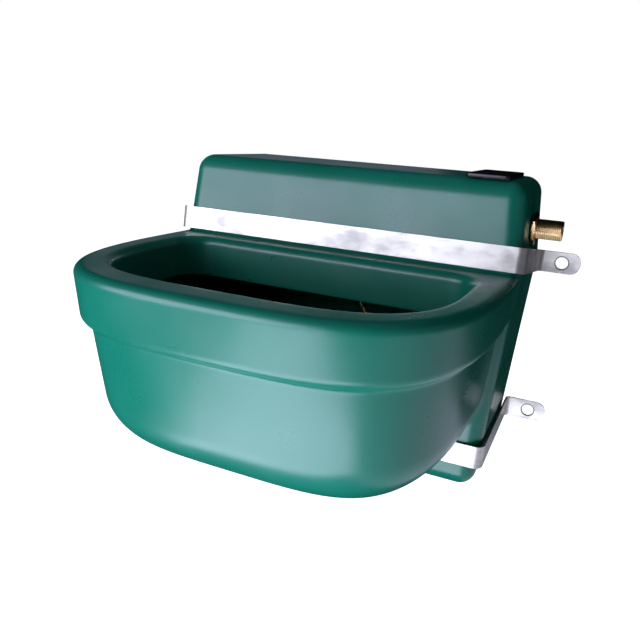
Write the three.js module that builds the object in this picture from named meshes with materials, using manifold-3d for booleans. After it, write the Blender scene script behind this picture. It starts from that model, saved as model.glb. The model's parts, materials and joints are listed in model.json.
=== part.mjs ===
// Wall-hung drinking bowl with a float chamber and a lever-operated float valve.
// Units are millimetres: +X towards the water inlet, +Y towards the wall, +Z up. The origin lies on the
// flat back face, halfway along its width, at the height of the upper strap's fixing holes.
import * as THREE from "three";
import { mergeVertices } from "three/addons/utils/BufferGeometryUtils.js";
import Module from "manifold-3d";

const wasm = await Module();
wasm.setup();

// ---- Driving dimensions ----

const GAP = 0.3; // clearance between pieces that touch
const WALL = 5; // skin of the hollow moulding

const RIM_Z = 7;
const CHAMBER = {
  bottom: -230,
  top: 95,
  partingHalf: 196, // half width at the height of the rim, where the mould parts
  draftAbove: 0.0842,
  draftBelow: 0.0732,
  partingFront: -152,
  leanAbove: 0.137,
  leanBelow: 0.033,
  edgeRadius: 17,
  backRadius: 6,
};
const BOWL = {
  front: -405.9,
  straightEnd: -146, // the sides run straight from the chamber to here
  back: -108, // the bowl is carried this far into the chamber
  bandPower: 3.55, // exponents of the rounded front outline, in the rim band and below it
  lowPower: 3.75,
  floor: -171,
  floorRadius: 53,
  bandDraft: 0.0842,
  crease: -45.8, // underside of the deep band round the rim
  creaseRound: 10,
  creaseSide: 9,
  creaseFront: 9.3,
  sideDraft: 0.07,
  frontDraft: 0.167,
  rimRadius: 9,
};
const MOUTH = {
  half: 163,
  back: -181,
  front: -369,
  power: 3.6,
  cornerRadius: 30,
  flare: 8,
  draft: 0.035,
  lipBottom: -36.5, // cut edge of the lip that turns down inside the mouth
};

const STRAP = { width: 25, thickness: 2, cornerBend: 9, tabBend: 5, holeRadius: 7, tabRound: 11 };
const UPPER_STRAP = { half: 200, front: -153.2, rise: 22.4, z: 0, holeX: 224.2, endX: 244.9 };
const LOWER_STRAP = { half: 187, front: -161.6, rise: 0, z: -189, holeX: 213.2, endX: 233.9 };

const ACCESS = {
  x: 150,
  y: -85.5,
  width: 43.5,
  depth: 105,
  thickness: 4.6,
  plugWidth: 34,
  plugDepth: 76,
  plugY: -84,
};

const VALVE = { y: -80, z: 46, tailRadius: 20.955 / 2, tailEnd: 224.2, boreRadius: 5.5 };
const INLET_PAD = { inner: 184.8, outer: 191.6, radius: 20.5, holeRadius: 11 };
const NUT = { acrossFlats: 31, thickness: 4.7, radius: 11 };
const WASHER = { radius: 14.5, thickness: 1.2 };
const BARREL = { start: 78, end: 152, radius: 12.5, bore: 9.4, threadRadius: 11.8, capEnd: 84.5 };
const SPOUT = { x: 139, radius: 8, bore: 4.5, bottom: -24 };
const SEAT_FACE = 142;
const SHOULDER = 160; // end of the body's hexagon, where the threaded tail screws in

const PIVOT = { x: 95, z: 28, pinRadius: 2, holeRadius: 2.3 };
const DROOP = THREE.MathUtils.degToRad(34); // lever angle below level with the bowl empty
const PISTON_RATIO = 11.9; // piston travel for each radian of lever
const PISTON_TRAVEL = PISTON_RATIO * DROOP;
const NOSE = { reach: 12.5, radius: 3.2, waist: 3.2 };
const LEVER = { length: 124, rodRadius: 3.175, bladeThickness: 6, eyeRadius: 7, eyeHeight: 14 };
const DROP_ROD = { radius: 3.175, above: 20, below: 61 };
const FLOAT = {
  radius: 50,
  skin: 3.5,
  drop: 105,
  neckRadius: 11,
  neckTop: -50,
  neckBottom: -66,
  bushRadius: 6.5,
};

const COLOURS = {
  green: [0x0b6b4a, 0.35, 0],
  black: [0x17181a, 0.45, 0],
  steel: [0xc9c8c6, 0.3, 1],
  brass: [0xc09050, 0.3, 1],
  rubber: [0x1c1c1c, 0.8, 0],
  nylon: [0xe9e6dc, 0.5, 0],
};

// ---- Solids: closed meshes in, closed meshes out ----

function manifoldFrom(positions, triangles) {
  const made = new wasm.Manifold(
    new wasm.Mesh({ numProp: 3, vertProperties: positions, triVerts: triangles }),
  );
  if (made.volume() >= 0) return made;
  const turned = triangles.slice();
  for (let i = 0; i < turned.length; i += 3) {
    [turned[i + 1], turned[i + 2]] = [turned[i + 2], turned[i + 1]];
  }
  return new wasm.Manifold(new wasm.Mesh({ numProp: 3, vertProperties: positions, triVerts: turned }));
}

// A three.js geometry as a solid, with shared vertices merged and collapsed triangles dropped.
function solid(geometry) {
  const bare = geometry.clone();
  bare.deleteAttribute("normal");
  bare.deleteAttribute("uv");
  const merged = mergeVertices(bare, 1e-4);
  const index = merged.index.array;
  const kept = [];
  for (let i = 0; i < index.length; i += 3) {
    const [a, b, c] = [index[i], index[i + 1], index[i + 2]];
    if (a !== b && b !== c && a !== c) kept.push(a, b, c);
  }
  return manifoldFrom(merged.attributes.position.array, new Uint32Array(kept));
}

// A solid skinned over a stack of rings that all hold the same number of points.
function loft(rings) {
  const count = rings[0].length;
  const positions = new Float32Array(rings.flat().flatMap((p) => [p.x, p.y, p.z]));
  const triangles = [];
  for (let r = 0; r + 1 < rings.length; r++) {
    for (let i = 0; i < count; i++) {
      const [a, b] = [r * count + i, r * count + ((i + 1) % count)];
      triangles.push(a, b, b + count, a, b + count, a + count);
    }
  }
  const last = (rings.length - 1) * count;
  for (let i = 1; i + 1 < count; i++) {
    triangles.push(0, i + 1, i, last, last + i, last + i + 1);
  }
  return manifoldFrom(positions, new Uint32Array(triangles));
}

// A body turned about the X axis. The profile holds [x, radius] pairs and closes on itself or the axis.
function turned(profile, segments = 32) {
  const points = profile.map(([x, radius]) => new THREE.Vector2(radius, x));
  return solid(new THREE.LatheGeometry(points, segments).rotateZ(-Math.PI / 2));
}

function ringProfile(x0, x1, inner, outer) {
  return [
    [x0, inner],
    [x1, inner],
    [x1, outer],
    [x0, outer],
    [x0, inner],
  ];
}

function rod(x0, x1, radius, segments = 24) {
  const geometry = new THREE.CylinderGeometry(radius, radius, x1 - x0, segments);
  return solid(geometry.rotateZ(-Math.PI / 2).translate((x0 + x1) / 2, 0, 0));
}

function upright(x, y, z0, z1, radius, segments = 24) {
  const geometry = new THREE.CylinderGeometry(radius, radius, z1 - z0, segments);
  return solid(geometry.rotateX(Math.PI / 2).translate(x, y, (z0 + z1) / 2));
}

function crossways(x, z, y0, y1, radius, segments = 20) {
  const geometry = new THREE.CylinderGeometry(radius, radius, y1 - y0, segments);
  return solid(geometry.translate(x, (y0 + y1) / 2, z));
}

function block(x0, x1, y0, y1, z0, z1) {
  const geometry = new THREE.BoxGeometry(x1 - x0, y1 - y0, z1 - z0);
  return solid(geometry.translate((x0 + x1) / 2, (y0 + y1) / 2, (z0 + z1) / 2));
}

// A shape drawn in the XZ plane and given a thickness centred on y = 0.
function plate(shape, thickness) {
  const options = { depth: thickness, bevelEnabled: false, curveSegments: 10 };
  const geometry = new THREE.ExtrudeGeometry(shape, options);
  return solid(geometry.rotateX(Math.PI / 2).translate(0, thickness / 2, 0));
}

// A hexagonal prism along X, its corners taken off by a cone at each end.
function hexagon(x0, x1, acrossFlats) {
  const corner = acrossFlats / Math.sqrt(3);
  const chamfer = corner - acrossFlats / 2;
  const prism = new THREE.CylinderGeometry(corner, corner, x1 - x0, 6);
  const bevel = turned([
    [x0, 0],
    [x0, acrossFlats / 2],
    [x0 + chamfer, corner + 0.5],
    [x1 - chamfer, corner + 0.5],
    [x1, acrossFlats / 2],
    [x1, 0],
  ]);
  return solid(prism.rotateZ(-Math.PI / 2).translate((x0 + x1) / 2, 0, 0)).intersect(bevel);
}

function mesh(name, body, colour) {
  const { vertProperties, triVerts } = body.getMesh();
  const geometry = new THREE.BufferGeometry();
  geometry.setAttribute("position", new THREE.BufferAttribute(vertProperties, 3));
  geometry.setIndex(new THREE.BufferAttribute(triVerts, 1));
  geometry.computeVertexNormals();
  const [color, roughness, metalness] = COLOURS[colour];
  const made = new THREE.Mesh(geometry, new THREE.MeshStandardMaterial({ color, roughness, metalness }));
  made.name = name;
  return made;
}

// ---- The hollow moulding: float chamber, bowl and rim in one skin ----

const quarter = (steps) => Array.from({ length: steps + 1 }, (_, i) => (i * Math.PI) / 2 / steps);

function chamberHalf(z) {
  const draft = z > RIM_Z ? CHAMBER.draftAbove : CHAMBER.draftBelow;
  return CHAMBER.partingHalf - draft * Math.abs(z - RIM_Z);
}

function chamberFront(z) {
  const lean = z > RIM_Z ? CHAMBER.leanAbove : CHAMBER.leanBelow;
  return CHAMBER.partingFront + lean * (z - RIM_Z);
}

// One level of the chamber, `inset` in from its outer faces, with rounded corners.
function chamberRing(z, inset, skin) {
  const half = chamberHalf(z) - inset - skin;
  const front = chamberFront(z) + inset + skin;
  const back = -skin - (inset * CHAMBER.backRadius) / CHAMBER.edgeRadius;
  const frontRadius = Math.max(CHAMBER.edgeRadius - skin - inset, 1.5);
  const backRadius = Math.max(CHAMBER.backRadius - skin, 1);
  const corners = [
    [half - backRadius, back - backRadius, backRadius, 0, 2],
    [-half + backRadius, back - backRadius, backRadius, 1, 2],
    [-half + frontRadius, front + frontRadius, frontRadius, 2, 6],
    [half - frontRadius, front + frontRadius, frontRadius, 3, 6],
  ];
  return corners.flatMap(([x, y, radius, turn, steps]) =>
    quarter(steps).map((a) => {
      const angle = a + (turn * Math.PI) / 2;
      return new THREE.Vector3(x + radius * Math.cos(angle), y + radius * Math.sin(angle), z);
    }),
  );
}

function chamber(skin) {
  const radius = CHAMBER.edgeRadius - skin;
  const rise = (a) => skin + radius * (1 - Math.cos(a));
  const inset = (a) => radius * (1 - Math.sin(a));
  const low = quarter(5).map((a) => [CHAMBER.bottom + rise(a), inset(a)]);
  const high = quarter(5).map((a) => [CHAMBER.top - rise(a), inset(a)]);
  const levels = [...low, [RIM_Z, 0], ...high.reverse()];
  return loft(levels.map(([z, inward]) => chamberRing(z, inward, skin)));
}

// A D-shaped outline: straight back, straight sides and a rounded front.
function dRing(z, { half, back, front, straight, power, cornerRadius = 0 }) {
  const points = [];
  for (const side of [1, -1]) {
    for (const a of cornerRadius ? quarter(5) : [0]) {
      const angle = side > 0 ? a : Math.PI / 2 - a;
      const x = half - cornerRadius + cornerRadius * Math.cos(angle);
      const y = back - cornerRadius + cornerRadius * Math.sin(angle);
      points.push(new THREE.Vector3(side * x, cornerRadius ? y : back, z));
    }
  }
  const steps = 30;
  for (let i = 0; i <= steps; i++) {
    const angle = (Math.PI * i) / steps;
    const across = Math.abs(Math.cos(angle)) ** (2 / power);
    const out = Math.abs(Math.sin(angle)) ** (2 / power);
    const x = -Math.sign(Math.cos(angle)) * half * across;
    points.push(new THREE.Vector3(x, straight + (front - straight) * out, z));
  }
  return points;
}

function bowlRing(z, sideInset, frontInset, skin) {
  const drop = RIM_Z - z;
  const inBand = z > BOWL.crease;
  const wall = inBand ? 0 : BOWL.crease - z;
  const bandDrop = inBand ? drop : RIM_Z - BOWL.crease;
  const half = CHAMBER.partingHalf + GAP - BOWL.bandDraft * bandDrop - BOWL.sideDraft * wall;
  const front = BOWL.front + BOWL.bandDraft * bandDrop + BOWL.frontDraft * wall;
  return dRing(z, {
    half: half - sideInset - skin,
    back: BOWL.back,
    front: front + frontInset + skin,
    straight: BOWL.straightEnd,
    power: inBand ? BOWL.bandPower : BOWL.lowPower,
  });
}

function bowl(skin) {
  const floorRadius = BOWL.floorRadius - skin;
  const rings = quarter(6).map((a) => {
    const inset = floorRadius * (1 - Math.sin(a));
    const z = BOWL.floor + skin + floorRadius * (1 - Math.cos(a));
    return bowlRing(z, inset + BOWL.creaseSide, inset + BOWL.creaseFront, skin);
  });
  for (const a of quarter(4)) {
    const share = 1 - Math.sin(a);
    const z = BOWL.crease + skin + BOWL.creaseRound * (1 - Math.cos(a)) + 0.001;
    rings.push(bowlRing(z, share * BOWL.creaseSide, share * BOWL.creaseFront, skin));
  }
  const rimRadius = BOWL.rimRadius - skin;
  for (const a of quarter(4).reverse()) {
    const inset = rimRadius * (1 - Math.sin(a));
    rings.push(bowlRing(RIM_Z - skin - rimRadius * (1 - Math.cos(a)), inset, inset, skin));
  }
  return loft(rings);
}

function mouthRing(z, outset) {
  const narrow = MOUTH.draft * Math.max(RIM_Z - z, 0);
  return dRing(z, {
    half: MOUTH.half - narrow + outset,
    back: MOUTH.back - narrow + outset,
    front: MOUTH.front + narrow - outset,
    straight: MOUTH.back - narrow - MOUTH.cornerRadius - 3,
    power: MOUTH.power,
    cornerRadius: MOUTH.cornerRadius + outset,
  });
}

function troughBody() {
  const flareStart = RIM_Z - MOUTH.flare;
  const flare = quarter(4).map((a) => {
    return [flareStart + MOUTH.flare * Math.sin(a), MOUTH.flare * (1 - Math.cos(a))];
  });
  const mouthLevels = [[MOUTH.lipBottom - 3, 0], [MOUTH.lipBottom, 0], ...flare, [RIM_Z + 1, MOUTH.flare]];
  const opening = loft(mouthLevels.map(([z, outset]) => mouthRing(z, outset)));
  const lip = loft([MOUTH.lipBottom, RIM_Z - WALL, RIM_Z - WALL / 2].map((z) => mouthRing(z, WALL)));
  const hollow = chamber(WALL).add(bowl(WALL)).subtract(lip);
  const { inner, outer, radius, holeRadius } = INLET_PAD;
  const pad = rod(inner, outer, radius, 40).translate(0, VALVE.y, VALVE.z);
  const spotFace = rod(outer, outer + 9, radius - 0.5, 40).translate(0, VALVE.y, VALVE.z);
  const inletHole = rod(inner - 9, outer + 9, holeRadius).translate(0, VALVE.y, VALVE.z);
  const { x, plugWidth, plugY, plugDepth } = ACCESS;
  const clear = 0.6;
  const accessHole = block(
    x - plugWidth / 2 - clear,
    x + plugWidth / 2 + clear,
    plugY - plugDepth / 2 - clear,
    plugY + plugDepth / 2 + clear,
    80,
    110,
  );
  const shell = chamber(0).add(bowl(0)).subtract(hollow).subtract(opening);
  return shell.add(pad).subtract(spotFace).subtract(inletHole).subtract(accessHole);
}

function roundedBlock(x, y, width, depth, z0, z1, radius) {
  const [w, d] = [width / 2 - radius, depth / 2 - radius];
  const shape = new THREE.Shape();
  shape.absarc(w, d, radius, 0, Math.PI / 2);
  shape.absarc(-w, d, radius, Math.PI / 2, Math.PI);
  shape.absarc(-w, -d, radius, Math.PI, 1.5 * Math.PI);
  shape.absarc(w, -d, radius, 1.5 * Math.PI, 2 * Math.PI);
  const options = { depth: z1 - z0, bevelEnabled: false, curveSegments: 5 };
  return solid(new THREE.ExtrudeGeometry(shape, options).translate(x, y, z0));
}

function accessCap() {
  const { x, y, width, depth, thickness, plugWidth, plugDepth, plugY } = ACCESS;
  const z = CHAMBER.top + GAP;
  const lid = roundedBlock(x, y, width, depth, z, z + thickness, 4);
  const plug = roundedBlock(x, plugY, plugWidth, plugDepth, z - 12, z + 1, 3);
  const hollow = roundedBlock(x, plugY, plugWidth - 5, plugDepth - 5, z - 13, z + 1, 2);
  return lid.add(plug).subtract(hollow);
}

// ---- Fixing straps ----

// Stations along one strap, from the middle of the front to the foot of the right-hand tab. Each holds
// the strap's centre, its direction, and how far its width has turned upright (0 to 1).
function strapStations({ half, front }) {
  const { thickness, cornerBend, tabBend } = STRAP;
  const [x, y] = [half - thickness / 2, front + thickness / 2];
  const stations = [{ x: 0, y, angle: 0, upright: 0 }];
  for (const a of quarter(5)) {
    stations.push({
      x: x - cornerBend + cornerBend * Math.sin(a),
      y: y + cornerBend - cornerBend * Math.cos(a),
      angle: a,
      upright: 0,
    });
  }
  for (const a of quarter(5)) {
    stations.push({
      x: x + tabBend - tabBend * Math.cos(a),
      y: -thickness / 2 - tabBend + tabBend * Math.sin(a),
      angle: Math.PI / 2 - a,
      upright: a / (Math.PI / 2),
    });
  }
  stations.push({ x: x + tabBend + 6, y: -thickness / 2, angle: 0, upright: 1 });
  return stations;
}

function strap({ half, front, rise, z, holeX, endX }) {
  const tilt = Math.atan2(rise, -front);
  const right = strapStations({ half, front });
  const left = right.slice(1).map((s) => ({ ...s, x: -s.x, angle: -s.angle }));
  const rings = [...left.reverse(), ...right].map((s) => {
    const lean = tilt * (1 - s.upright);
    const along = new THREE.Vector3(Math.cos(s.angle), Math.sin(s.angle) * Math.cos(lean), 0);
    along.z = -Math.sin(s.angle) * Math.sin(lean);
    const across = new THREE.Vector3(0, Math.sin(lean), Math.cos(lean)).multiplyScalar(STRAP.width / 2);
    const through = new THREE.Vector3().crossVectors(along, across).setLength(STRAP.thickness / 2);
    const centre = new THREE.Vector3(s.x, s.y, z + (rise * s.y) / (front + STRAP.thickness / 2));
    const corner = (u, v) => centre.clone().addScaledVector(through, u).addScaledVector(across, v);
    return [corner(1, 1), corner(-1, 1), corner(-1, -1), corner(1, -1)];
  });
  const tabs = [1, -1].map((side) => strapTab({ half, z, holeX, endX }, side));
  return loft(rings).add(tabs[0]).add(tabs[1]);
}

// The tab at one end of a strap: a flat plate with a rounded end and a round fixing hole.
function strapTab({ half, z, holeX, endX }, side) {
  const { width, thickness, tabBend, holeRadius, tabRound } = STRAP;
  const shape = new THREE.Shape();
  shape.moveTo(half + tabBend, width / 2);
  shape.lineTo(half + tabBend, -width / 2);
  shape.absarc(endX - tabRound, -width / 2 + tabRound, tabRound, -Math.PI / 2, 0);
  shape.absarc(endX - tabRound, width / 2 - tabRound, tabRound, 0, Math.PI / 2);
  const hole = crossways(holeX, 0, -thickness, thickness, holeRadius, 28);
  const tab = plate(shape, thickness).subtract(hole).translate(0, -thickness / 2, z);
  return side > 0 ? tab : tab.mirror([1, 0, 0]);
}

// ---- Valve: everything here has the valve's own axis as its X axis ----

function valveBody() {
  const { start, end, radius, bore, threadRadius, capEnd } = BARREL;
  const outside = turned([
    [start, 0],
    [start, threadRadius],
    [capEnd + GAP, threadRadius],
    [capEnd + GAP, radius],
    [end, radius],
    [end, 0],
  ]);
  const spout = upright(SPOUT.x, 0, SPOUT.bottom, 0, SPOUT.radius);
  const earShape = new THREE.Shape();
  const [pivotX, pivotZ] = [PIVOT.x, PIVOT.z - VALVE.z];
  earShape.moveTo(pivotX + 13, -8);
  earShape.lineTo(pivotX - 9, -8);
  earShape.absarc(pivotX, pivotZ, 6.5, Math.PI, 2 * Math.PI);
  const ear = plate(earShape, 4);
  const leverSlot = block(85, 106, -3.6, 3.6, -14, -4);
  const chamberBore = rod(start - 1, SEAT_FACE + 8 + GAP, bore);
  const waterway = rod(SEAT_FACE, SHOULDER + 1, VALVE.boreRadius);
  const outlet = upright(SPOUT.x, 0, SPOUT.bottom - 1, 0, SPOUT.bore);
  const pinHole = crossways(pivotX, pivotZ, -12, 12, PIVOT.holeRadius);
  return outside
    .add(hexagon(end, SHOULDER, 27))
    .add(spout)
    .add(ear.translate(0, 5.9, 0))
    .add(ear.translate(0, -5.9, 0))
    .subtract(leverSlot)
    .subtract(chamberBore)
    .subtract(waterway)
    .subtract(outlet)
    .subtract(pinHole);
}

// The threaded tail that carries the supply through the chamber's wall.
function inletTail() {
  const { tailRadius, tailEnd, boreRadius } = VALVE;
  const start = SHOULDER + GAP;
  const lead = 1.2;
  return turned([
    [start, boreRadius],
    [start, tailRadius - lead],
    [start + lead, tailRadius],
    [tailEnd - lead, tailRadius],
    [tailEnd, tailRadius - lead],
    [tailEnd, boreRadius],
    [start, boreRadius],
  ]);
}

function endCap() {
  const { start, capEnd, threadRadius, bore } = BARREL;
  const grip = turned([
    [start - 4, 0],
    [start - 4, 12],
    [start - 2.8, 13.6],
    [capEnd, 13.6],
    [capEnd, threadRadius + GAP],
    [start - GAP, threadRadius + GAP],
    [start - GAP, bore],
    [start - GAP, 0],
  ], 40);
  const coinSlot = block(start - 5, start - 2.6, -12, 12, -1, 1);
  return grip.subtract(coinSlot);
}

function seatNozzle() {
  return turned([
    [SEAT_FACE, 1.6],
    [SEAT_FACE + 8, 1.6],
    [SEAT_FACE + 8, 9.1],
    [SEAT_FACE + 4, 9.1],
    [SEAT_FACE + 3, 5],
    [SEAT_FACE, 3.4],
    [SEAT_FACE, 1.6],
  ]);
}

const washer = (x) => turned(ringProfile(x, x + WASHER.thickness, NUT.radius, WASHER.radius));

function backNut(x) {
  const end = x + NUT.thickness;
  return hexagon(x, end, NUT.acrossFlats).subtract(rod(x - 1, end + 1, NUT.radius));
}

function pivotPin() {
  const shank = turned([
    [-10.6, 0],
    [-10.6, PIVOT.pinRadius],
    [10.4, PIVOT.pinRadius],
    [10.4, 3.4],
    [12, 3.4],
    [12.8, 2.4],
    [12.8, 0],
  ], 16);
  return shank.rotate([0, 0, -90]).translate(PIVOT.x, 0, PIVOT.z - VALVE.z);
}

// ---- Piston: modelled with the valve shut ----

const PISTON = { radius: 9.1, back: SEAT_FACE - 55.6, shoulder: SEAT_FACE - 13, face: SEAT_FACE - GAP };

function piston() {
  const { radius, back, shoulder } = PISTON;
  const body = turned([
    [back, 0],
    [back, radius - 1],
    [back + 1, radius],
    [shoulder, radius],
    [shoulder, 5.5],
    [shoulder + 5, 5.5],
    [shoulder + 5, 0],
  ]);
  const slot = block(PIVOT.x - 4.3, PIVOT.x + 4.3, -3.6, 3.6, -12, 2);
  return body.subtract(slot);
}

function pistonCap() {
  const { radius, shoulder, face } = PISTON;
  return turned([
    [shoulder + GAP, 5.5 + GAP],
    [shoulder + 5 + GAP, 5.5 + GAP],
    [shoulder + 5 + GAP, 7.4],
    [face - 3, 7.4],
    [face - 3, 6],
    [face - 1, 6],
    [face - 1, radius - 1],
    [face - 2, radius],
    [shoulder + GAP, radius],
    [shoulder + GAP, 5.5 + GAP],
  ]);
}

function pistonWasher() {
  const { shoulder, face } = PISTON;
  return turned([
    [shoulder + 5 + GAP, 0],
    [shoulder + 5 + GAP, 7.1],
    [face - 3 - GAP, 7.1],
    [face - 3 - GAP, 5.7],
    [face, 5.7],
    [face, 0],
  ]);
}

// ---- Lever, drop rod and float: modelled with the lever level, its pivot at the origin ----

function leverArm() {
  const { length, rodRadius, bladeThickness, eyeRadius, eyeHeight } = LEVER;
  const bladeShape = new THREE.Shape();
  bladeShape.absarc(0, 0, 5.6, -Math.PI / 2, 0.25 * Math.PI);
  bladeShape.lineTo(NOSE.waist / 2, 5.8);
  bladeShape.lineTo(NOSE.waist / 2, NOSE.reach - NOSE.radius);
  bladeShape.absarc(0, NOSE.reach, NOSE.radius, -Math.PI / 3, (4 * Math.PI) / 3);
  bladeShape.lineTo(-NOSE.waist / 2, 5.4);
  bladeShape.lineTo(-6, 3.6);
  bladeShape.lineTo(-26, rodRadius);
  bladeShape.lineTo(-26, -rodRadius);
  bladeShape.lineTo(-10, -5.6);
  const blade = plate(bladeShape, bladeThickness);
  return blade
    .add(rod(-length, -18, rodRadius, 16))
    .add(upright(-length, 0, -eyeHeight / 2, eyeHeight / 2, eyeRadius))
    .subtract(upright(-length, 0, -eyeHeight, eyeHeight, DROP_ROD.radius + GAP))
    .subtract(rod(-length - eyeRadius - 1, -length, 2.5 + GAP, 16))
    .subtract(crossways(0, 0, -10, 10, PIVOT.holeRadius));
}

function thumbScrew() {
  const tip = -LEVER.length - DROP_ROD.radius - GAP;
  const base = -LEVER.length - LEVER.eyeRadius;
  const shank = turned([
    [base - 16, 0],
    [base - 16, 2.5],
    [base - 9.5, 4.5],
    [base - 1, 4.5],
    [base - 1, 2.5],
    [tip, 2.5],
    [tip, 0],
  ], 16);
  const wingShape = new THREE.Shape();
  wingShape.moveTo(base - 4, -3);
  wingShape.lineTo(base - 4, 3);
  wingShape.absarc(base - 13, 8, 4.5, 0.15 * Math.PI, 0.8 * Math.PI);
  wingShape.absarc(base - 13, -8, 4.5, 1.2 * Math.PI, 1.85 * Math.PI);
  return shank.add(plate(wingShape, 2.4));
}

const dropRod = () => upright(-LEVER.length, 0, -DROP_ROD.below, DROP_ROD.above, DROP_ROD.radius, 16);

// The float is blown hollow. Its neck tube is plugged by the threaded bush.
function floatBall() {
  const { radius, skin, drop, neckRadius, neckTop, neckBottom, bushRadius } = FLOAT;
  const sphere = (r, around, down) =>
    solid(new THREE.SphereGeometry(r, around, down).rotateX(Math.PI / 2).translate(0, 0, -drop));
  return sphere(radius, 32, 20)
    .subtract(sphere(radius - skin, 24, 14))
    .add(upright(0, 0, neckBottom, neckTop, neckRadius, 32))
    .subtract(upright(0, 0, neckBottom - 1, neckTop + 1, bushRadius + GAP, 24))
    .translate(-LEVER.length, 0, 0);
}

function floatBush() {
  const { neckTop, neckBottom, bushRadius } = FLOAT;
  return upright(-LEVER.length, 0, neckBottom, neckTop, bushRadius, 24)
    .subtract(upright(-LEVER.length, 0, neckBottom + 3, neckTop + 1, DROP_ROD.radius + GAP, 16));
}

function floatNut() {
  return hexagon(-FLOAT.neckTop - 6, -FLOAT.neckTop - GAP, 13)
    .rotate([0, 90, 0])
    .translate(-LEVER.length, 0, 0)
    .subtract(upright(-LEVER.length, 0, -60, -30, DROP_ROD.radius + GAP, 16));
}

// ---- Assembly ----

const group = new THREE.Group();
group.add(
  mesh("trough_body", troughBody(), "green"),
  mesh("access_cap", accessCap(), "black"),
  mesh("upper_strap", strap(UPPER_STRAP), "steel"),
  mesh("lower_strap", strap(LOWER_STRAP), "steel"),
);

const valve = new THREE.Group();
valve.position.set(0, VALVE.y, VALVE.z);
const outerFace = INLET_PAD.outer + GAP;
const innerFace = INLET_PAD.inner - GAP;
valve.add(
  mesh("valve_body", valveBody(), "brass"),
  mesh("inlet_tail", inletTail(), "brass"),
  mesh("seat_nozzle", seatNozzle(), "nylon"),
  mesh("end_cap", endCap(), "brass"),
  mesh("pivot_pin", pivotPin(), "brass"),
  mesh("outer_washer", washer(outerFace), "rubber"),
  mesh("outer_backnut", backNut(outerFace + WASHER.thickness + GAP), "brass"),
  mesh("inner_washer", washer(innerFace - WASHER.thickness), "rubber"),
  mesh("inner_backnut", backNut(innerFace - WASHER.thickness - GAP - NUT.thickness), "brass"),
);
group.add(valve);

const pistonGroup = new THREE.Group();
pistonGroup.position.set(-PISTON_TRAVEL, 0, 0);
pistonGroup.add(
  mesh("piston", piston(), "brass"),
  mesh("piston_cap", pistonCap(), "brass"),
  mesh("piston_washer", pistonWasher(), "rubber"),
);
valve.add(pistonGroup);

const lever = new THREE.Group();
lever.position.set(PIVOT.x, VALVE.y, PIVOT.z);
lever.rotation.y = -DROOP;
lever.add(
  mesh("lever_arm", leverArm(), "brass"),
  mesh("thumb_screw", thumbScrew(), "brass"),
  mesh("drop_rod", dropRod(), "brass"),
  mesh("float", floatBall(), "black"),
  mesh("float_bush", floatBush(), "brass"),
  mesh("float_nut", floatNut(), "brass"),
);
group.add(lever);

export default group;
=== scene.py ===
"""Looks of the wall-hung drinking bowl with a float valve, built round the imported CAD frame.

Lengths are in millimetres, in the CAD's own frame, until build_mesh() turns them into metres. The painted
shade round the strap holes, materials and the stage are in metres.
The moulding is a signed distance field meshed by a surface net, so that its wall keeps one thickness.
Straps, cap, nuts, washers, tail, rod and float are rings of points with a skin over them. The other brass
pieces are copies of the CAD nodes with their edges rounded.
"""

import json
import math

import bmesh
import bpy
import numpy as np
from mathutils import Matrix, Vector


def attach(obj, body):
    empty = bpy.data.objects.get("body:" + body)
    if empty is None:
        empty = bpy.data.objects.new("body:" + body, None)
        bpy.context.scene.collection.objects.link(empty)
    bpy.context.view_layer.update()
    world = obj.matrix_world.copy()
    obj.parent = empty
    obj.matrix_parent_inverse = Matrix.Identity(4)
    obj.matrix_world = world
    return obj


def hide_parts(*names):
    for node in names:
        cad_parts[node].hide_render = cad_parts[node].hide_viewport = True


MM = 0.001
RELAX_ROUNDS = 3
LEAST_GRADIENT2, LEAST_LENGTH, LEAST_RATIO = 0.05, 1e-9, 1e-6

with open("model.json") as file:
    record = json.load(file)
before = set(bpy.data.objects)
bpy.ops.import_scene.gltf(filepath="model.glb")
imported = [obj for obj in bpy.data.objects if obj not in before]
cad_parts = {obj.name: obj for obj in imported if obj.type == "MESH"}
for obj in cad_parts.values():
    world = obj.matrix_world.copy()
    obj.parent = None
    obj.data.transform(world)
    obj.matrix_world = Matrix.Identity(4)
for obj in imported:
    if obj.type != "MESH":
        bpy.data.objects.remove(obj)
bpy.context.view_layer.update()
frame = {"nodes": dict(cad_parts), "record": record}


# ---------------------------------------------------------------- distance fields


def rounded_and(distances, radius):
    """The space inside every field, with the edge between them rounded."""
    fields = np.stack(distances)
    corner = np.sqrt((np.maximum(fields + radius, 0.0) ** 2).sum(0))
    return np.minimum(fields.max(0), -radius) + corner


def filleted_or(a, b, radius):
    """The space inside either field, with a fillet of about that radius between them."""
    reach = np.maximum(radius - np.abs(a - b), 0.0) / radius
    return np.minimum(a, b) - reach * reach * radius / 4


def smooth(low, high, value):
    """A share that rises from 0 at low to 1 at high, level at both ends."""
    t = np.clip((value - low) / (high - low), 0.0, 1.0)
    return t * t * (3 - 2 * t)


def box_field(p, low, high, radius):
    """The space inside an upright box with its edges rounded."""
    sides = [low[i] - p[i] for i in range(3)] + [p[i] - high[i] for i in range(3)]
    return rounded_and(sides, radius)


def grid_lines(*stretches):
    """Grid lines from stretches (start, end, spacing) that follow on from each other."""
    lines = [np.array([stretches[0][0]], float)]
    for start, end, spacing in stretches:
        count = max(1, round((end - start) / spacing))
        lines.append(np.linspace(start, end, count + 1)[1:])
    return np.concatenate(lines)


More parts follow.
